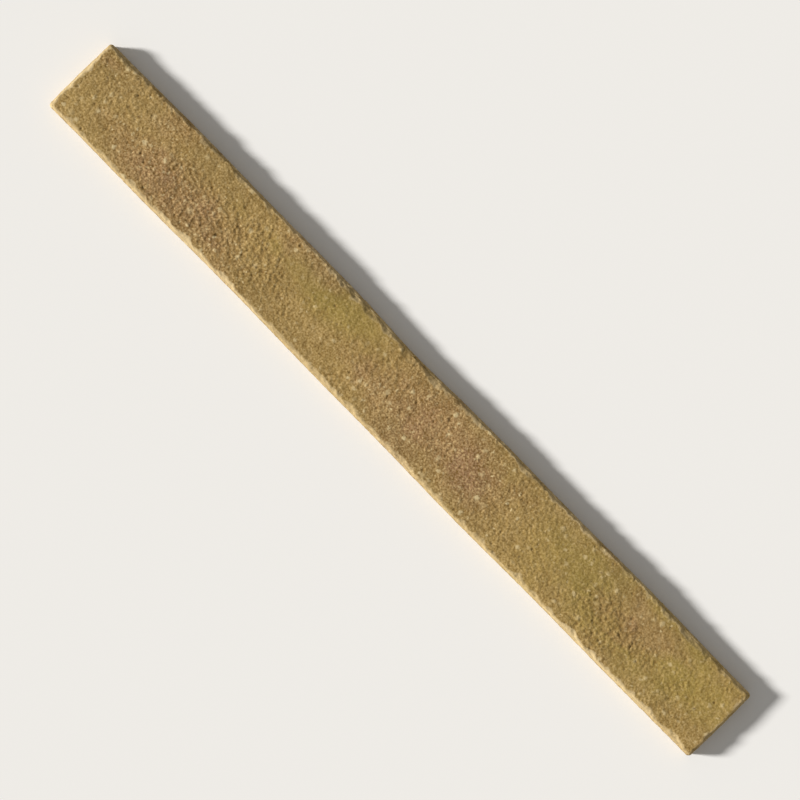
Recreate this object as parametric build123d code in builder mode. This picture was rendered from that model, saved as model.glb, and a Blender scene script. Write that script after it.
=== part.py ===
import os
from math import exp, pi, radians, sin, tan

from build123d import *

# A long, narrow wall tile of dry-pressed stoneware, one fired piece. It lies on its back with
# the face up: X runs along it, Y across it, and the origin is the middle of its back.
# Sizes are in millimetres and angles in degrees.

# Face, over everything
length = 500.0
width = 50.0
thickness = 10.0

# Edges. The long sides wander a little inside the nominal width, as pressed clay does.
corner_radius = 2.2  # plan corners
arris_radius = 1.8  # soft rounding where the face meets the sides
side_draft = 1.2  # the sides lean in towards the back, to leave the die
back_bevel = 0.6  # bevel around the back
end_bow = 0.35  # how far the middle of an end stands out beyond its corners
wander_depth = 1.0  # furthest that the waves take a long side inside the nominal width
slow_wave = 310.0  # wavelengths of the two waves that a side follows
quick_wave = 118.0
points_per_wave = 6  # points of the curve along each of the quick waves
upper_phase = 0.9  # where the waves start, in radians, so that the two sides differ
lower_phase = 3.7
dent_place = -12.0  # one soft dent in the upper side, along X
dent_length = 100.0
dent_depth = 0.9

# Back. Shallow pockets in rows leave ribs and a rim, which the adhesive grips.
pocket_depth = 0.9
pocket_size = 12.0  # wanted side of a pocket, adjusted so that whole pockets fill the back
pocket_corner = 1.4  # cut across each corner of a pocket
pocket_draft = 25.0
rib_width = 3.2  # between two pockets, at the back
rim_width = 4.2  # between the outer pockets and the edge of the back, clear of the dent


def wander(side, along):
    """How far a long side lies inside the nominal width. side is 1 for +Y and -1 for -Y."""
    phase = upper_phase if side > 0 else lower_phase
    slow = sin(2 * pi * along / slow_wave + phase)
    quick = sin(2 * pi * along / quick_wave + 2 * phase)
    waves = wander_depth * (1 + 0.6 * slow + 0.4 * quick) / 2
    dent = dent_depth * exp(-((4 * (along - dent_place) / dent_length) ** 2))
    return waves + dent if side > 0 else waves


def side_points(side, inset):
    """Points of one long side's curve, from left to right."""
    spans = max(4, round(points_per_wave * length / quick_wave))
    reach = length / 2 - end_bow - inset
    places = [reach * (2 * step / spans - 1) for step in range(spans + 1)]
    return [(x, side * (width / 2 - inset - wander(side, x))) for x in places]


def draw_outline(level, bevel=0.0):
    """The tile's outline at one height. It is widest at the foot of the arris."""
    inset = bevel + (thickness - arris_radius - level) * tan(radians(side_draft))
    with BuildSketch(Plane.XY.offset(level)) as outline:
        with BuildLine():
            upper_side = Spline(*side_points(1, inset))
            lower_side = Spline(*side_points(-1, inset))
            ThreePointArc(upper_side @ 0, (inset - length / 2, 0), lower_side @ 0)
            ThreePointArc(upper_side @ 1, (length / 2 - inset, 0), lower_side @ 1)
        make_face()
        fillet(outline.vertices(), corner_radius)
    return outline.sketch


# Whole pockets that fit inside the rim, and the pitch that spreads them evenly
draft_inset = (thickness - arris_radius) * tan(radians(side_draft))
back_inset = wander_depth + back_bevel + draft_inset
pocketed_length = length - 2 * (back_inset + rim_width)
pocketed_width = width - 2 * (back_inset + rim_width)
columns = max(1, round((pocketed_length + rib_width) / (pocket_size + rib_width)))
rows = max(1, round((pocketed_width + rib_width) / (pocket_size + rib_width)))
column_pitch = (pocketed_length + rib_width) / columns
row_pitch = (pocketed_width + rib_width) / rows

with BuildPart() as tile:
    # Body, from its face down to the bevel around its back
    face_outline = draw_outline(thickness)
    side_foot = draw_outline(back_bevel)
    back_outline = draw_outline(0, back_bevel)
    loft([face_outline, side_foot, back_outline], ruled=True)
    fillet(tile.faces().sort_by(Axis.Z)[-1].edges(), arris_radius)

    # Pockets in the back
    with BuildSketch() as pockets:
        with GridLocations(column_pitch, row_pitch, columns, rows):
            Rectangle(column_pitch - rib_width, row_pitch - rib_width)
        chamfer(pockets.vertices(), pocket_corner)
    extrude(amount=pocket_depth, taper=pocket_draft, mode=Mode.SUBTRACT)

tile.part.label = "tile"
os.makedirs("parts", exist_ok=True)
export_step(tile.part, "parts/tile.step")
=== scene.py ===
from math import cos, exp, pi, radians, sin, sqrt, tan

import bmesh
import bpy
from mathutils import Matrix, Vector
from mathutils.geometry import delaunay_2d_cdt


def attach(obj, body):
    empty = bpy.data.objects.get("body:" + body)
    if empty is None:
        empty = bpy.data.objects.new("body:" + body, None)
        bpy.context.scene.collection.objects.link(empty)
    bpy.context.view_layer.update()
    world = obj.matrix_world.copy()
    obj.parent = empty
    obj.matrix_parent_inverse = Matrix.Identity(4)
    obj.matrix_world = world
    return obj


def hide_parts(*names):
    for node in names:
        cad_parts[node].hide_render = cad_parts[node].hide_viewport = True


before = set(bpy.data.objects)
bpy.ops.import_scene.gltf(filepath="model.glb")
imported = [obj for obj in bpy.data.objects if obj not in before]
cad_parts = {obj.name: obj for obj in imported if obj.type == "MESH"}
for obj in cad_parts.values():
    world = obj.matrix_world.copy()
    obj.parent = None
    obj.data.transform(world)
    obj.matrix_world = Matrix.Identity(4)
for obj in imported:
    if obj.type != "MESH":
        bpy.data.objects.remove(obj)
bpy.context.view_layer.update()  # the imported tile, which stays where it is
mm = 0.001


def addNode(tree, kind, inputs=None, **settings):  # inputs are values or the sockets they come from
    node = tree.nodes.new(kind)
    for name, value in settings.items():
        setattr(node, name, value)
    for name, value in (inputs or {}).items():
        if isinstance(value, bpy.types.NodeSocket):
            tree.links.new(value, node.inputs[name])
        else:
            node.inputs[name].default_value = value
    return node


def calc(tree, operation, *values, clamp=False):
    node = addNode(tree, "ShaderNodeMath", dict(enumerate(values)), operation=operation)
    node.use_clamp = clamp
    return node.outputs[0]


def remap(tree, value, fromLow, fromHigh, toLow=0.0, toHigh=1.0, smooth=True):
    inputs = {
        "Value": value,
        "From Min": fromLow,
        "From Max": fromHigh,
        "To Min": toLow,
        "To Max": toHigh,
    }
    kind = "SMOOTHSTEP" if smooth else "LINEAR"
    return addNode(tree, "ShaderNodeMapRange", inputs, interpolation_type=kind).outputs["Result"]


def scaled(tree, vector, factor):
    return addNode(tree, "ShaderNodeVectorMath", {0: vector, "Scale": factor}, operation="SCALE").outputs[0]


def shifted(tree, vector, step):
    return addNode(tree, "ShaderNodeVectorMath", {0: vector, 1: step}, operation="ADD").outputs[0]


def stretched(tree, vector, sizes):  # the vector measured in units of sizes, one for each axis
    inputs = {0: vector, 1: [1 / size for size in sizes]}
    return addNode(tree, "ShaderNodeVectorMath", inputs, operation="MULTIPLY").outputs[0]


def noise(tree, vector, sizes, seed, detail=2.0, roughness=0.5, distortion=0.0):  # about -1 to 1
    inputs = {
        "Vector": stretched(tree, vector, sizes),
        "W": seed,
        "Scale": 1.0,
        "Detail": detail,
        "Roughness": roughness,
        "Distortion": distortion,
    }
    node = addNode(tree, "ShaderNodeTexNoise", inputs, noise_dimensions="4D")
    return calc(tree, "MULTIPLY_ADD", node.outputs["Fac"], 4.0, -2.0)


# Plan and section of the tile as the CAD has them, in millimetres, and how finely the mesh follows
body = {
    "length": 500.0,
    "width": 50.0,
    "thickness": 10.0,
    "cornerRadius": 2.2,
    "arrisRadius": 1.8,
    "draft": 1.2,  # degrees
    "backBevel": 0.6,
    "endBow": 0.35,
    "wanderDepth": 1.0,
    "slowWave": 310.0,
    "quickWave": 118.0,
    "slowShare": 0.6,  # of the two waves in a side's wander
    "quickShare": 0.4,
    "phases": {1: 0.9, -1: 3.7},  # of the +Y and the -Y side, in radians
    "dentPlace": -12.0,  # a soft dent in the +Y side
    "dentLength": 100.0,
    "dentDepth": 0.9,
    "pocketDepth": 0.9,
    "pocketSize": 12.0,
    "pocketCorner": 1.4,
    "pocketDraft": 25.0,  # degrees
    "ribWidth": 3.2,
    "rimWidth": 4.2,
    "faceStep": 0.62,  # between the points of the face
    "outlineStep": 0.66,  # between the points along the outline
    "arrisRings": 6,
    "sideRings": 10,
}


def wander(x, side):  # how far a long side lies inside the nominal width
    phase = body["phases"][side]
    slow = sin(2 * pi * x / body["slowWave"] + phase)
    quick = sin(2 * pi * x / body["quickWave"] + 2 * phase)
    dent = body["dentDepth"] * exp(-((4 * (x - body["dentPlace"]) / body["dentLength"]) ** 2))
    waves = body["wanderDepth"] * (1 + body["slowShare"] * slow + body["quickShare"] * quick) / 2
    return waves + dent if side > 0 else waves


def sideY(x, side):
    return side * (body["width"] / 2 - wander(x, side))


def endX(y, end):
    return end * (body["length"] / 2 - body["endBow"] * (y / (body["width"] / 2)) ** 2)


def cornerCentre(end, side):  # of a plan corner's rounding, found in a few rounds
    radius, rounds = body["cornerRadius"], 4
    x, y = endX(0, end), sideY(0, side)
    for _ in range(rounds):
        x, y = endX(y, end) - end * radius, sideY(x, side) - side * radius
    return x, y


def makeOutline():  # points and outward directions, anticlockwise from the +X end
    step, radius = body["outlineStep"], body["cornerRadius"]
    nudge = 0.01  # along a line, to find its direction
    corners = [(1, 1), (-1, 1), (-1, -1), (1, -1)]
    centres = {corner: cornerCentre(*corner) for corner in corners}
    outline = []

    def straight(start, stop, place):
        count = round(abs(stop - start) / step)
        for n in range(count):
            at = start + (stop - start) * n / count
            here = place(at)
            ahead = place(at + (nudge if stop > start else -nudge))
            along = Vector((ahead[0] - here[0], ahead[1] - here[1])).normalized()
            outline.append((here[0], here[1], along.y, -along.x))

    def corner(end, side, turn):
        x, y = centres[end, side]
        count = round(radius * pi / 2 / step)
        for n in range(count):
            angle = turn + pi / 2 * n / count
            outline.append((x + radius * cos(angle), y + radius * sin(angle), cos(angle), sin(angle)))

    straight(centres[1, -1][1], centres[1, 1][1], lambda y: (endX(y, 1), y))
    corner(1, 1, 0)
    straight(centres[1, 1][0], centres[-1, 1][0], lambda x: (x, sideY(x, 1)))
    corner(-1, 1, pi / 2)
    straight(centres[-1, 1][1], centres[-1, -1][1], lambda y: (endX(y, -1), y))
    corner(-1, -1, pi)
    straight(centres[-1, -1][0], centres[1, -1][0], lambda x: (x, sideY(x, -1)))
    corner(1, -1, 3 * pi / 2)
    return outline


def makeRings():  # inset from the outline and height of each ring, from the face down to the back
    radius, foot = body["arrisRadius"], body["thickness"] - body["arrisRadius"]
    lean = tan(radians(body["draft"]))
    rings = []
    for n in range(body["arrisRings"] + 1):
        angle = pi / 2 * (1 - n / body["arrisRings"])
        rings.append((radius * (1 - cos(angle)), foot + radius * sin(angle)))
    for n in range(1, body["sideRings"] + 1):
        height = foot + (body["backBevel"] - foot) * n / body["sideRings"]
        rings.append(((foot - height) * lean, height))
    rings.append((foot * lean + body["backBevel"], 0.0))
    return rings


def pocketGrid():  # middles of the pockets and half their size
    foot = body["thickness"] - body["arrisRadius"]
    lean, rib = foot * tan(radians(body["draft"])), body["ribWidth"]
    edge = body["wanderDepth"] + body["backBevel"] + lean + body["rimWidth"]
    places, half = [], []
    for size in (body["length"], body["width"]):
        span = size - 2 * edge + rib
        count = round(span / (body["pocketSize"] + rib))
        pitch = span / count
        places.append([(n - (count - 1) / 2) * pitch for n in range(count)])
        half.append((pitch - rib) / 2)
    return [(x, y) for x in places[0] for y in places[1]], half


def pocketLoop(middle, half, inset):  # a pocket's outline, a rectangle with cut corners
    cut = body["pocketCorner"] - (2 - sqrt(2)) * inset
    x, y = half[0] - inset, half[1] - inset
    quarter = [(x, y - cut), (x - cut, y)]
    shape = quarter + [(-a, b) for a, b in quarter[::-1]]
    shape += [(-a, -b) for a, b in shape]
    return [(middle[0] + a, middle[1] + b) for a, b in shape]


def fillFlat(loops, inner):  # triangles between the first loop, the holes and the inner points
    points, borders = [], []
    for loop in loops:
        borders.append(list(range(len(points), len(points) + len(loop))))
        points += loop
    points += inner
    insideOnly, tolerance = 1, 1e-6
    filled = delaunay_2d_cdt([Vector(p) for p in points], [], borders, insideOnly, tolerance)
    faces, sources = filled[2], filled[3]
    return [[sources[v][0] for v in face] for face in faces], points


def insideBy(x, y):  # distance of a point inside the outline, away from the corners
    return min(sideY(x, 1) - y, y - sideY(x, -1), endX(y, 1) - x, x - endX(y, -1))


def buildBody():
    outline, rings = makeOutline(), makeRings()
    points, insets, faces = [], [], []
    count = len(outline)
    for inset, height in rings:
        points += [(x - inset * nx, y - inset * ny, height) for x, y, nx, ny in outline]
        insets += [inset] * count
    for ring in range(len(rings) - 1):
        for n in range(count):
            a, b = ring * count + n, ring * count + (n + 1) % count
            faces.append((a, a + count, b + count, b))

    # Face: an even lattice inside the first ring
    step, top = body["faceStep"], body["thickness"]
    lattice = []
    rowGap = step * sqrt(3) / 2
    for row in range(round(body["width"] / rowGap) + 1):
        y = row * rowGap - body["width"] / 2
        for column in range(round(body["length"] / step) + 1):
            x = (column + 0.5 * (row % 2)) * step - body["length"] / 2
            if insideBy(x, y) > body["arrisRadius"] + 0.5 * step:
                lattice.append((x, y))
    loop = [p[:2] for p in points[:count]]
    triangles, _ = fillFlat([loop], lattice)
    shift = len(points) - count
    faces += [[v if v < count else v + shift for v in face] for face in triangles]
    points += [(x, y, top) for x, y in lattice]
    insets += [insideBy(x, y) for x, y in lattice]

    # Back: the land around the pockets, then their walls and floors
    middles, half = pocketGrid()
    mouths = [pocketLoop(middle, half, 0) for middle in middles]
    corners = len(mouths[0])
    lastRing = (len(rings) - 1) * count
    rim = [p[:2] for p in points[lastRing : lastRing + count]]
    triangles, flat = fillFlat([rim] + mouths, [])
    start = len(points)
    points += [(x, y, 0.0) for x, y in flat[count:]]
    for face in triangles:
        pocket = (min(face) - count) // corners
        if min(face) >= count and all((v - count) // corners == pocket for v in face):
            continue  # inside one pocket's mouth
        faces.append([lastRing + v if v < count else start + v - count for v in face])
    depth = body["pocketDepth"]
    inset = depth * tan(radians(body["pocketDraft"]))
    for n, middle in enumerate(middles):
        mouth, floor = start + corners * n, len(points)
        points += [(x, y, depth) for x, y in pocketLoop(middle, half, inset)]
        faces.append(list(range(floor, floor + corners)))
        for a in range(corners):
            b = (a + 1) % corners
            faces.append((mouth + a, mouth + b, floor + b, floor + a))
    insets += [body["width"] / 2] * (len(points) - len(insets))  # the back, far from the face's edge
    print("body", len(points), "points", len(faces), "faces")
    return points, faces, insets


def makeMesh(name, points, faces):
    mesh = bpy.data.meshes.new(name)
    mesh.from_pydata([Vector(p) * mm for p in points], [], faces)
    bm = bmesh.new()
    bm.from_mesh(mesh)
    bmesh.ops.recalc_face_normals(bm, faces=bm.faces)
    bm.to_mesh(mesh)
    bm.free()
    return mesh


# Patches of the face that differ from the rest: middle and half size in millimetres
patches = {
    "rough": [(-132, -2, 62, 19), (171, -4, 34, 16)],  # deeper wrinkles
    "brown": [(-168, -9, 38, 13), (28, 2, 54, 17)],
    "olive": [(176, 6, 72, 20), (-60, 12, 40, 10)],
    "pale": [  # more flecks
        (-14, -3, 10, 6),
        (20, -8, 6, 4),
        (-190, 3, 30, 10),
        (-118, -12, 24, 8),
        (106, 9, 26, 9),
    ],
    "bitten": [(-17, 24, 58, 7), (215, 24, 20, 6)],  # a more broken arris
    "wearAndLitPatches": [(-131, -24, 55, 7), (178, -24, 55, 7), (-245, 0, 8, 20)],  # a paler arris on the -Y side and the -X end, which face the lamp: wear with a painted highlight
}

# Scattered dots: the share of the cells that hold one, and the least and largest radius in cells
scatter = {
    "pits": (0.45, 0.1, 0.3),
    "grog": (0.7, 0.12, 0.42),
    "chips": (0.4, 0.12, 0.34),
    "small": (0.35, 0.14, 0.4),
    "smudge": (0.6, 0.08, 0.24),
    "cluster": (0.8, 0.12, 0.42),
    "burnt": (0.3, 0.10, 0.26),
}


def inPatches(tree, place, name, wobble, softness=0.5, raggedness=0.45):  # 1 in the patches, 0 outside
    total = None
    for x, y, halfLength, halfWidth in patches[name]:
        centred = shifted(tree, place, (-x * mm, -y * mm, 0))
        shape = stretched(tree, centred, (halfLength * mm, halfWidth * mm, 1.0))
        away = addNode(tree, "ShaderNodeVectorMath", {0: shape}, operation="LENGTH").outputs["Value"]
        away = calc(tree, "MULTIPLY_ADD", wobble, raggedness, away)
        here = remap(tree, away, 1 + softness, 1 - softness)
        total = here if total is None else calc(tree, "MAXIMUM", total, here)
    return total


def cells(tree, place, spacing, seed, **settings):  # a Voronoi pattern that the seed moves
    step = (5.3, 7.7, 3.9)  # in cells, for each unit of the seed
    counted = scaled(tree, place, calc(tree, "DIVIDE", 1.0, spacing))
    moved = shifted(tree, counted, scaled(tree, step, seed))
    return addNode(tree, "ShaderNodeTexVoronoi", {"Vector": moved, "Scale": 1.0}, **settings)


def crooked(tree, place, size=2.0 * mm, reach=3.0 * mm):  # bent, so that dots there aren't round
    inputs = {"Vector": place, "Scale": 1 / size, "Detail": 1.5}
    bend = addNode(tree, "ShaderNodeTexNoise", inputs).outputs["Color"]
    bend = shifted(tree, bend, (-0.5, -0.5, -0.5))  # about 0
    return shifted(tree, place, scaled(tree, bend, reach))


def dots(tree, place, spacing, seed, name):  # 1 in the middle of dots, 0 outside
    share, smallest, largest = scatter[name]
    softness = 0.7
    pattern = cells(tree, place, spacing, seed)
    draw = addNode(tree, "ShaderNodeSeparateXYZ", {0: pattern.outputs["Color"]}).outputs[0]
    radius = remap(tree, draw, 1 - share, 1.0, smallest, largest, smooth=False)
    chosen = calc(tree, "GREATER_THAN", draw, 1 - share)
    away = calc(tree, "DIVIDE", pattern.outputs["Distance"], radius)
    inside = calc(tree, "SUBTRACT", 1.0, away, clamp=True)
    return calc(tree, "MULTIPLY", chosen, remap(tree, inside, 0.0, softness))


# Relief pressed into the body, everywhere inwards from the CAD's surface
relief = {
    "Sway Depth": 0.12 * mm,  # slow unevenness of the face
    "Cushion Depth": 0.16 * mm,  # fall of the face towards its edges
    "Cushion Width": 4.0 * mm,
    "Lump Depth": 0.22 * mm,
    "Lump Size": 8.0 * mm,
    "Calm Strength": 0.5,  # of the grain and the crumbs, in the calmest places
    "Rough Strength": 1.45,  # and in the rough patches
    "Grain Depth": 0.17 * mm,
    "Grain Size": 1.8 * mm,
    "Crumb Depth": 0.15 * mm,
    "Crumb Size": 2.0 * mm,
    "Crumb Softness": 0.35,
    "Crease Depth": 0.19 * mm,  # wrinkles, full in the rough patches
    "Crease Size": 2.8 * mm,
    "Crease Sharpness": 2.6,
    "Least Creases": 0.1,  # share of them elsewhere
    "Most Creases": 0.8,
    "Pit Depth": 0.42 * mm,
    "Pit Spacing": 4.6 * mm,
    "Grog Height": 0.08 * mm,
    "Grog Spacing": 5.0 * mm,
    "Edge Slope": 0.31,  # of an uneven flat worn along the arris
    "Edge Reach": 2.3 * mm,
    "Edge Run": 10.0 * mm,  # length over which its width changes
    "Least Wear": -0.4,  # share of the reach, below 0 where nothing is worn
    "Most Wear": 2.4,
    "Bitten Wear": 0.6,  # more of it in the bitten patches
    "Crest Reach": 1.4 * mm,  # least distance of the crest from the outline
    "Chip Depth": 1.0 * mm,
    "Chip Spacing": 7.0 * mm,
    "Chip Start": 0.5 * mm,  # distances from the outline over which the chips fade away
    "Chip End": 3.0 * mm,
    "Chip Share": 0.4,  # of their depth outside the bitten patches
    "Side Grain": 0.16 * mm,
    "Side Size": 3.0 * mm,
    "Side Pits": 0.7,  # share of the pits' depth
    "Side Start": 0.7 * mm,  # heights over which the sides' relief begins
    "Side Full": 2.0 * mm,
    "Face Start": 7.0 * mm,  # and over which it gives way to the face's
    "Face Full": 9.3 * mm,
    "Margin": 0.50 * mm,  # from the CAD's surface to the middle of the relief
    "Deepest": 1.65 * mm,  # less than the arris radius, past which the surface would fold
    "Easing": 0.5 * mm,  # how softly the depth comes to its deepest
    "Seed": 7.0,
}
grogSeed = 8  # beyond the relief's own seed, the same in the relief and in the colour


def makeReliefTree():
    tree = bpy.data.node_groups.new("pressedFace", "GeometryNodeTree")
    tree.interface.new_socket("Geometry", in_out="INPUT", socket_type="NodeSocketGeometry")
    tree.interface.new_socket("Geometry", in_out="OUTPUT", socket_type="NodeSocketGeometry")
    sockets = {}
    for name, value in relief.items():
        socket = tree.interface.new_socket(name, in_out="INPUT", socket_type="NodeSocketFloat")
        socket.default_value = value
        sockets[name] = socket.identifier
    clay = tree.interface.new_socket("Finish", in_out="INPUT", socket_type="NodeSocketMaterial")
    sockets["Finish"] = clay.identifier

    given = addNode(tree, "NodeGroupInput").outputs
    place = addNode(tree, "GeometryNodeInputPosition").outputs[0]
    normal = addNode(tree, "GeometryNodeInputNormal").outputs[0]
    height = addNode(tree, "ShaderNodeSeparateXYZ", {0: place}).outputs["Z"]
    stored = addNode(tree, "GeometryNodeInputNamedAttribute", {"Name": "inset"}, data_type="FLOAT")
    inset = stored.outputs[0]  # distance from the outline

    def seeded(extra):
        return calc(tree, "ADD", given["Seed"], extra)

    def waves(size, extra, stretch=(1, 1, 1), **shape):  # noise whose size is one of the inputs
        counted = scaled(tree, place, calc(tree, "DIVIDE", 1.0, size))
        return noise(tree, counted, stretch, seeded(extra), **shape)

    def wrinkle(value):  # 1 along the lines where a noise is zero, falling to 0 beside them
        beside = calc(tree, "MULTIPLY", calc(tree, "ABSOLUTE", value), given["Crease Sharpness"])
        return remap(tree, beside, 0.0, 1.0, 1.0, 0.0)

    def times(first, second):
        return calc(tree, "MULTIPLY", first, second)

    def minus(first, second):
        return calc(tree, "SUBTRACT", first, second)

    def add(total, amount, value):
        return calc(tree, "MULTIPLY_ADD", amount, value, total)

    # Where the relief is strong
    wobble = noise(tree, place, (22 * mm, 16 * mm, 22 * mm), seeded(20), detail=3)
    rough = inPatches(tree, place, "rough", wobble)
    slow = noise(tree, place, (42 * mm, 26 * mm, 30 * mm), seeded(2), detail=2)
    lively = remap(tree, slow, -0.6, 0.6, given["Calm Strength"], 1.0)
    strength = calc(tree, "MAXIMUM", lively, times(rough, given["Rough Strength"]))
    creased = remap(tree, slow, -0.6, 0.8, given["Least Creases"], given["Most Creases"])
    creased = calc(tree, "MAXIMUM", creased, rough)

    # Fine relief, raised above its middle or sunk below it
    grain = waves(given["Grain Size"], 4, (1.0, 1.1, 1.0), detail=3, roughness=0.58)
    crumbs = cells(tree, place, given["Crumb Size"], seeded(12), feature="SMOOTH_F1")
    tree.links.new(given["Crumb Softness"], crumbs.inputs["Smoothness"])
    crumb = remap(tree, crumbs.outputs["Distance"], 0.15, 0.85, 1.0, -1.0, smooth=False)
    across = wrinkle(waves(given["Crease Size"], 5, (0.9, 2.0, 1.5), detail=1.5, distortion=0.8))
    along = wrinkle(waves(given["Crease Size"], 6, (1.9, 1.0, 1.5), detail=1.5, distortion=1.2))
    pits = dots(tree, place, given["Pit Spacing"], seeded(7), "pits")
    grog = dots(tree, crooked(tree, place), given["Grog Spacing"], seeded(grogSeed), "grog")
    fine = times(given["Grain Depth"], grain)
    fine = add(fine, given["Crumb Depth"], crumb)
    fine = times(fine, strength)
    wrinkles = times(given["Crease Depth"], creased)
    fine = minus(fine, times(wrinkles, calc(tree, "MAXIMUM", across, along)))
    fine = minus(fine, times(given["Pit Depth"], pits))
    fine = add(fine, given["Grog Height"], grog)

    # Broad relief
    sway = noise(tree, place, (90 * mm, 55 * mm, 90 * mm), seeded(1), detail=1)
    broad = times(given["Sway Depth"], sway)
    broad = add(broad, given["Lump Depth"], waves(given["Lump Size"], 3, (1.0, 1.2, 1.0), detail=2))
    steps = calc(tree, "DIVIDE", inset, given["Cushion Width"])
    fall = calc(tree, "EXPONENT", times(steps, -1.0))
    broad = minus(broad, times(given["Cushion Depth"], fall))

    # Edges: an uneven flat along the arris, with chips
    ragged = waves(given["Edge Run"], 9, detail=3, roughness=0.55)
    bitten = inPatches(tree, place, "bitten", wobble)
    wear = remap(tree, ragged, -1.0, 1.0, given["Least Wear"], given["Most Wear"], smooth=False)
    wear = calc(tree, "ADD", wear, times(bitten, given["Bitten Wear"]))
    reach = times(given["Edge Reach"], wear)
    crest = minus(inset, calc(tree, "MAXIMUM", reach, given["Crest Reach"]))
    beyond = calc(tree, "MAXIMUM", minus(reach, inset), 0.0)
    edge = times(given["Edge Slope"], beyond)
    chips = dots(tree, crooked(tree, place), given["Chip Spacing"], seeded(10), "chips")
    chipped = remap(tree, inset, given["Chip Start"], given["Chip End"], 1.0, 0.0)
    chipped = times(chipped, remap(tree, bitten, 0.0, 1.0, given["Chip Share"], 1.0))
    edge = add(edge, given["Chip Depth"], times(chips, chipped))

    # Depth below the CAD's surface, on the face and on the sides
    onFace = remap(tree, height, given["Face Start"], given["Face Full"])
    onSide = minus(remap(tree, height, given["Side Start"], given["Side Full"]), onFace)
    faceDepth = minus(minus(given["Margin"], fine), broad)
    faceDepth = calc(tree, "ADD", faceDepth, edge)
    faceDepth = calc(tree, "SMOOTH_MIN", faceDepth, given["Deepest"], given["Easing"])
    dragged = waves(given["Side Size"], 11, (1.0, 1.0, 3.0), detail=3)
    sand = times(given["Side Grain"], calc(tree, "MULTIPLY_ADD", grain, 0.7, dragged))
    sand = minus(sand, times(times(given["Pit Depth"], given["Side Pits"]), pits))
    sideDepth = times(minus(given["Side Grain"], sand), onSide)
    depth = calc(tree, "MAXIMUM", calc(tree, "ADD", times(faceDepth, onFace), sideDepth), 0.0)
    offset = scaled(tree, normal, times(depth, -1.0))

    # What the material needs to know
    kept = {
        "relief": ("FLOAT", calc(tree, "MULTIPLY_ADD", sand, onSide, times(fine, onFace))),
        "crest": ("FLOAT", crest),  # distance inwards from the worn flat's inner edge
        "place": ("FLOAT_VECTOR", place),  # where the point was before the relief moved it
    }
    geometry = given["Geometry"]
    for name, (kind, value) in kept.items():
        inputs = {"Geometry": geometry, "Name": name, "Value": value}
        settings = {"data_type": kind, "domain": "POINT"}
        geometry = addNode(tree, "GeometryNodeStoreNamedAttribute", inputs, **settings).outputs[0]
    inputs = {"Geometry": geometry, "Offset": offset}
    geometry = addNode(tree, "GeometryNodeSetPosition", inputs).outputs[0]
    geometry = addNode(tree, "GeometryNodeRealizeInstances", {"Geometry": geometry}).outputs[0]
    inputs = {"Geometry": geometry, "Material": given["Finish"]}
    geometry = addNode(tree, "GeometryNodeSetMaterial", inputs).outputs[0]
    addNode(tree, "NodeGroupOutput", {"Geometry": geometry})
    print("relief tree", len(tree.nodes), "nodes")
    return tree, sockets


def srgb(red, green, blue):  # a colour as the screen shows it, in the linear values of a shader
    return [((v / 255 + 0.055) / 1.055) ** 2.4 for v in (red, green, blue)] + [1.0]


# Colour and grain of the fired face and of the bare clay, with sizes and heights in millimetres
finish = {
    "ochre": srgb(156, 129, 75),
    "olive": srgb(153, 131, 66),
    "brown": srgb(151, 119, 78),
    "pink": srgb(157, 120, 88),
    "pinkShare": 0.65,  # at most, in the brown clouds
    "cloudShare": 0.7,  # of olive and brown outside their patches
    "cloudSize": 70,
    "patchSoftness": 0.7,
    "bloom": srgb(172, 145, 104),
    "bloomShare": 0.45,
    "clay": srgb(160, 139, 104),
    "clayStart": 5.8,  # heights over which the clay gives way to the face's colour
    "clayEnd": 7.6,
    "clayWave": 1.5,  # how far that line strays up and down
    "clayShade": 0.09,
    "drift": 0.22,  # share by which the colour varies over a hand's width
    "driftSize": 60,
    "mottle": 0.15,  # how strongly the colour varies over a few millimetres
    "mottleSize": 11,
    "speckle": 0.10,
    "speckleSize": 2.8,
    "grain": 0.70,
    "grainSize": 1.1,
    "olivePart": 0.7,  # of these three where the clay is olive, calmer than elsewhere
    "brownPart": 1.3,  # and where it is brown
    "paleGrain": srgb(205, 176, 122),
    "deepGrain": srgb(115, 86, 32),
    "deepPart": 1.4,  # how much more the deep grain shows than the pale one
    "pooledGlazeAndShade": srgb(122, 92, 44),  # in the lowest parts of the fine relief: deeper glaze pooled there, and painted warm shade
    "pooledGlazeAndShadeShare": 0.6,
    "fleck": srgb(208, 187, 140),
    "darkFleck": srgb(92, 70, 42),
    # Pale arris: glaze worn thin at the edges, and a painted highlight where the arris faces the lamp
    "arrisWearAndHighlight": srgb(202, 180, 136),
    "leastWorn": 0.05,  # share of it along the arris
    "mostWorn": 0.6,
    "litSideHighlight": 0.45,  # at least, along the -Y side, which faces the lamp: a painted highlight
    "wearAndLitPatchShare": 0.75,  # and in the arris patches on the -Y side and the -X end, which face the lamp: wear with a painted highlight
    "roughness": 0.82,
    "roughnessDrift": 0.05,
    "specular": 0.3,
    "sandSize": 0.75,  # of the bump, finer than the mesh
    "sandDepth": 0.07,
    "sandStrength": 0.8,
    "flecks": {  # spacing in millimetres, seed, and share of their own colour
        "smudge": (12, 6, 0.45),
        "grog": (relief["Grog Spacing"] / mm, relief["Seed"] + grogSeed, 0.9),
        "small": (1.8, 4, 0.6),
        "cluster": (2.4, 5, 0.85),  # in the pale patches
        "burnt": (3.4, 9, 0.55),
    },
}


def mixColour(tree, amount, first, second, blend="MIX"):
    inputs = {0: amount, 6: first, 7: second}  # the node's sockets for the factor and two colours
    return addNode(tree, "ShaderNodeMix", inputs, data_type="RGBA", blend_type=blend).outputs[2]


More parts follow.
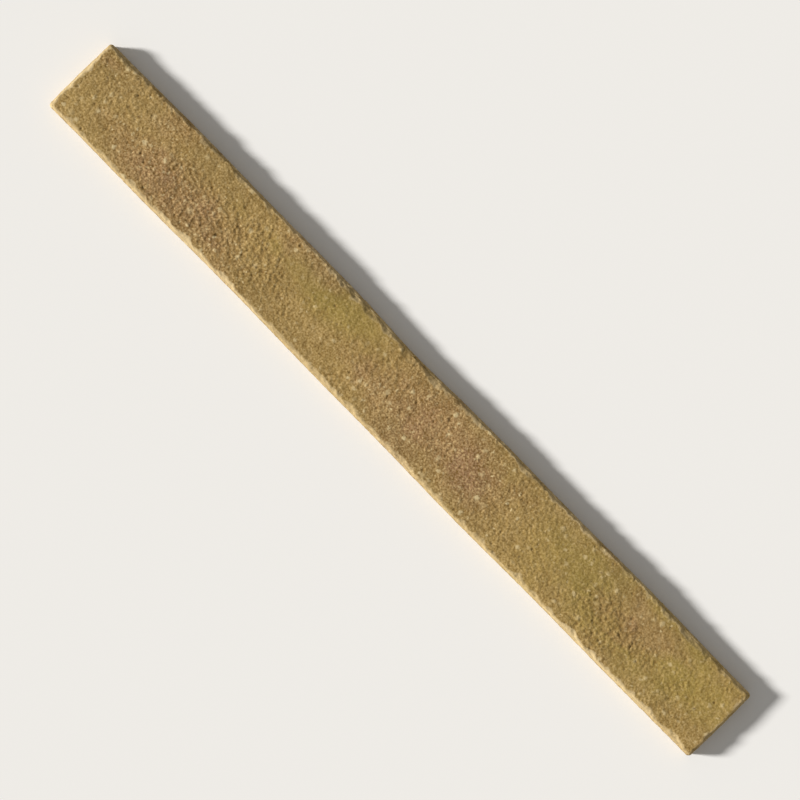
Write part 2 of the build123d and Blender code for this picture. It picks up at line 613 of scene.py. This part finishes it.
def makeFiredClay():
    material = bpy.data.materials.new("firedClay")
    material.use_nodes = True
    tree = material.node_tree
    shader = tree.nodes["Principled BSDF"]
    place = addNode(tree, "ShaderNodeAttribute", attribute_name="place").outputs["Vector"]
    parts = addNode(tree, "ShaderNodeSeparateXYZ", {0: place}).outputs
    height = parts["Z"]
    sunk = addNode(tree, "ShaderNodeAttribute", attribute_name="relief").outputs["Fac"]
    crest = addNode(tree, "ShaderNodeAttribute", attribute_name="crest").outputs["Fac"]

    def around(size, seed, stretch=(1.0, 1.0, 1.0), **shape):
        return noise(tree, place, [size * s * mm for s in stretch], seed, **shape)

    def share(amount, part):
        return calc(tree, "MULTIPLY", amount, part)

    def most(first, second):
        return calc(tree, "MAXIMUM", first, second)

    def shaded(colour, amount):  # the colour times a number
        grey = addNode(tree, "ShaderNodeCombineColor", {0: amount, 1: amount, 2: amount}).outputs[0]
        return mixColour(tree, 1.0, colour, grey, "MULTIPLY")

    # Clouding
    wobble = around(22, 4.4, (1.0, 0.7, 1.0), detail=4, roughness=0.6)
    clouds = around(finish["cloudSize"], 3.1, (1.0, 0.5, 1.0), detail=3, distortion=0.3)
    inOlive = inPatches(tree, place, "olive", wobble, finish["patchSoftness"])
    inBrown = inPatches(tree, place, "brown", wobble, finish["patchSoftness"])
    olive = most(remap(tree, clouds, 0.1, 0.8, 0, finish["cloudShare"]), inOlive)
    brown = most(remap(tree, clouds, -0.2, -0.9, 0, finish["cloudShare"]), inBrown)
    colour = mixColour(tree, olive, finish["ochre"], finish["olive"])
    colour = mixColour(tree, brown, colour, finish["brown"])
    pink = remap(tree, around(16, 5.7, detail=3), 0.0, 0.8, 0, finish["pinkShare"])
    colour = mixColour(tree, share(pink, brown), colour, finish["pink"])

    # Paler bloom, most of it where the relief stands high
    bloom = remap(tree, around(18, 9.2, detail=4), -0.1, 0.8, 0, finish["bloomShare"])
    raised = remap(tree, sunk, -0.05 * mm, 0.35 * mm, 0.3, 1.0)
    colour = mixColour(tree, share(bloom, raised), colour, finish["bloom"])

    # Bare clay from an uneven line down the sides
    line = around(11, 6.6, detail=4, roughness=0.6)
    line = calc(tree, "MULTIPLY_ADD", line, finish["clayWave"] * mm, height)
    bare = remap(tree, line, finish["clayStart"] * mm, finish["clayEnd"] * mm, 1.0, 0.0)
    dust = around(6, 8.8, (1.0, 1.0, 1.6), detail=4, roughness=0.6)
    dust = calc(tree, "MULTIPLY_ADD", dust, finish["clayShade"], 1.0)
    colour = mixColour(tree, bare, colour, shaded(finish["clay"], dust))

    # Mottling and grain
    drift = around(finish["driftSize"], 2.9, (1.0, 0.7, 1.0), detail=3, roughness=0.65)
    colour = shaded(colour, calc(tree, "MULTIPLY_ADD", drift, finish["drift"], 1.0))
    mottle = around(finish["mottleSize"], 1.3, (1.0, 0.85, 1.0), detail=4, roughness=0.6)
    speckle = around(finish["speckleSize"], 6.1, detail=2)
    grain = around(finish["grainSize"], 2.2, detail=1.5, roughness=0.6)
    blotch = share(mottle, finish["mottle"])
    blotch = calc(tree, "MULTIPLY_ADD", speckle, finish["speckle"], blotch)
    blotch = calc(tree, "MULTIPLY_ADD", grain, finish["grain"], blotch)
    hue = calc(tree, "SUBTRACT", brown, olive)
    lively = remap(tree, hue, -0.8, 0.8, finish["olivePart"], finish["brownPart"])
    blotch = share(blotch, lively)
    colour = mixColour(tree, most(blotch, 0.0), colour, finish["paleGrain"])
    deep = calc(tree, "MULTIPLY", blotch, -finish["deepPart"], clamp=True)
    colour = mixColour(tree, deep, colour, finish["deepGrain"])
    # Darker and warmer in the hollows of the fine relief: partly glaze pooled there, partly painted shade
    low = remap(tree, sunk, -0.02 * mm, -0.5 * mm, 0.0, finish["pooledGlazeAndShadeShare"])
    colour = mixColour(tree, low, colour, finish["pooledGlazeAndShade"])

    # Grog and burnt flecks, of uneven size and strength
    bent = crooked(tree, place)
    strong = share(remap(tree, around(6, 3.7, detail=2), -0.7, 0.4, 0.3, 1.0), lively)
    for name, (spacing, seed, part) in finish["flecks"].items():
        shown = dots(tree, bent, spacing * mm, seed, name)
        if name == "cluster":
            shown = share(shown, inPatches(tree, place, "pale", wobble))
        shown = share(shown, part)
        if name != "burnt":
            shown = share(shown, strong)
        colour = mixColour(tree, shown, colour, finish["darkFleck" if name == "burnt" else "fleck"])

    # Rubbed arris: its crest, the flat worn beside it, and everything down to the top of the sides, with a
    # painted highlight along the -Y side and the -X end, which face the lamp
    jagged = around(5, 7.3, detail=4, roughness=0.65)
    rim = calc(tree, "MULTIPLY_ADD", jagged, 0.25 * mm, crest)
    ridge = remap(tree, calc(tree, "ABSOLUTE", rim), 0.2 * mm, 1.3 * mm, 1.0, 0.0)
    flat = remap(tree, rim, -0.8 * mm, 0.2 * mm, 1.0, 0.0)
    crown = calc(tree, "MULTIPLY_ADD", jagged, 0.4 * mm, height)
    arrisWearAndHighlight = share(most(ridge, flat), remap(tree, crown, 7.2 * mm, 8.4 * mm))
    uneven = around(14, 7.9, detail=4, roughness=0.6)
    uneven = remap(tree, uneven, -0.6, 0.6, finish["leastWorn"], finish["mostWorn"])
    # Paler still along the -Y side and in the patches that face the lamp: painted highlight over the wear
    uneven = most(uneven, remap(tree, parts["Y"], -18 * mm, -22 * mm, 0.0, finish["litSideHighlight"]))
    uneven = most(uneven, share(inPatches(tree, place, "wearAndLitPatches", wobble), finish["wearAndLitPatchShare"]))
    colour = mixColour(tree, share(arrisWearAndHighlight, uneven), colour, finish["arrisWearAndHighlight"])
    tree.links.new(colour, shader.inputs["Base Color"])

    rough = calc(tree, "MULTIPLY_ADD", mottle, finish["roughnessDrift"], finish["roughness"])
    tree.links.new(rough, shader.inputs["Roughness"])
    shader.inputs["Specular IOR Level"].default_value = finish["specular"]
    sand = around(finish["sandSize"], 7.7, detail=3, roughness=0.7)
    inputs = {"Height": sand, "Strength": finish["sandStrength"], "Distance": finish["sandDepth"] * mm}
    bump = addNode(tree, "ShaderNodeBump", inputs)
    tree.links.new(bump.outputs[0], shader.inputs["Normal"])
    print("fired clay", len(tree.nodes), "nodes")
    return material


def makeTile():
    points, faces, insets = buildBody()
    mesh = makeMesh("tileFired", points, faces)
    inset = mesh.attributes.new("inset", "FLOAT", "POINT")
    inset.data.foreach_set("value", [value * mm for value in insets])
    backTop = body["pocketDepth"] * mm * 1.01  # up to here the back keeps its flat faces
    smooth = [mesh.vertices[face.vertices[0]].co.z > backTop for face in mesh.polygons]
    mesh.polygons.foreach_set("use_smooth", smooth)
    rough = bpy.data.objects.new("tileRough", mesh)
    bpy.context.scene.collection.objects.link(rough)
    tree, sockets = makeReliefTree()
    modifier = rough.modifiers.new("relief", "NODES")
    modifier.node_group = tree
    for name, value in relief.items():
        modifier[sockets[name]] = value
    modifier[sockets["Finish"]] = makeFiredClay()
    evaluated = rough.evaluated_get(bpy.context.evaluated_depsgraph_get())
    pressed = bpy.data.meshes.new_from_object(evaluated)
    pressed.name = "tile_fired"
    bpy.data.objects.remove(rough)
    piece = bpy.data.objects.new("tile_fired", pressed)
    bpy.context.scene.collection.objects.link(piece)
    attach(piece, "root")
    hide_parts("tile")
    triangles = sum(len(face.vertices) - 2 for face in pressed.polygons)
    print("tile", len(pressed.vertices), "points", triangles, "triangles")


makeTile()

# Camera straight above, turned so that the tile runs down to the right
view = {
    "tilt": 45.6,  # degrees that the tile's +X end points below the picture's right
    "lens": 100.0,
    "sensor": 36.0,
    "margin": 0.05,  # of the frame's side, beyond the tile's ends
}


def addCamera():
    turn = radians(view["tilt"])
    length, width = body["length"] * mm, body["width"] * mm
    tall = length * sin(turn) + width * cos(turn)
    across = tall / (1 - 2 * view["margin"])
    distance = across * view["lens"] / view["sensor"]
    camera = bpy.data.objects.new("camera", bpy.data.cameras.new("camera"))
    camera.data.lens, camera.data.sensor_width = view["lens"], view["sensor"]
    camera.location = (0, 0, body["thickness"] * mm + distance)
    camera.rotation_euler = (0, 0, turn)
    bpy.context.scene.collection.objects.link(camera)
    bpy.context.scene.camera = camera
    print("camera", round(distance, 3), "m above the face")


light = {
    "side": 5.0,  # degrees above the picture's left that the light comes from
    "lift": 23.0,  # degrees above the floor
    "spread": 9.0,  # degrees that the lamp fills, which softens the shadows
    "strength": 5.6,
    "colour": (1.0, 0.985, 0.96),
    "world": 0.28,
    "fill": (1.0, 0.975, 0.93, 1.0),  # colour of the world's light
    "beyond": srgb(238, 235, 230),  # what is seen past the floor
}


def addLight():
    turn = radians(view["tilt"])
    right, up = Vector((cos(turn), sin(turn), 0)), Vector((-sin(turn), cos(turn), 0))
    side, lift = radians(light["side"]), radians(light["lift"])
    towards = (up * sin(side) - right * cos(side)) * cos(lift) + Vector((0, 0, sin(lift)))
    lamp = bpy.data.lights.new("softLamp", "SUN")
    lamp.angle, lamp.energy, lamp.color = radians(light["spread"]), light["strength"], light["colour"]
    holder = bpy.data.objects.new("softLamp", lamp)
    holder.rotation_mode = "QUATERNION"
    holder.rotation_quaternion = towards.to_track_quat("Z", "Y")
    bpy.context.scene.collection.objects.link(holder)

    world = bpy.data.worlds.new("room")
    world.use_nodes = True
    bpy.context.scene.world = world
    tree = world.node_tree
    rays = addNode(tree, "ShaderNodeLightPath").outputs
    seen = calc(tree, "MAXIMUM", rays["Is Camera Ray"], rays["Is Glossy Ray"])
    seen = calc(tree, "MAXIMUM", seen, rays["Is Transmission Ray"])
    lit = addNode(tree, "ShaderNodeBackground", {"Color": light["fill"], "Strength": light["world"]})
    pale = addNode(tree, "ShaderNodeBackground", {"Color": light["beyond"], "Strength": 1.0})
    either = addNode(tree, "ShaderNodeMixShader", {0: seen, 1: lit.outputs[0], 2: pale.outputs[0]})
    tree.links.new(either.outputs[0], tree.nodes["World Output"].inputs["Surface"])
    print("light from", light["lift"], "degrees above the floor")


floorLook = {
    "reach": 6.0,  # metres from the tile to the floor's sides
    "drop": 0.02 * mm,  # below the tile's back
    "colour": srgb(241, 240, 238),
    "roughness": 1.0,
    "specular": 0.0,  # none, so that the floor looks as bright from every side
}


def addFloor():
    reach, level = floorLook["reach"], -floorLook["drop"]
    corners = [(x * reach, y * reach, level) for x, y in ((-1, -1), (1, -1), (1, 1), (-1, 1))]
    mesh = bpy.data.meshes.new("floor")
    mesh.from_pydata(corners, [], [(0, 1, 2, 3)])
    material = bpy.data.materials.new("paleFloor")
    material.use_nodes = True
    shader = material.node_tree.nodes["Principled BSDF"]
    shader.inputs["Base Color"].default_value = floorLook["colour"]
    shader.inputs["Roughness"].default_value = floorLook["roughness"]
    shader.inputs["Specular IOR Level"].default_value = floorLook["specular"]
    mesh.materials.append(material)
    floor = bpy.data.objects.new("floor", mesh)
    bpy.context.scene.collection.objects.link(floor)
    print("floor", 2 * reach, "m wide")


addCamera()
addLight()
addFloor()
bpy.context.scene.view_settings.view_transform = "Standard"
bpy.context.view_layer.update()
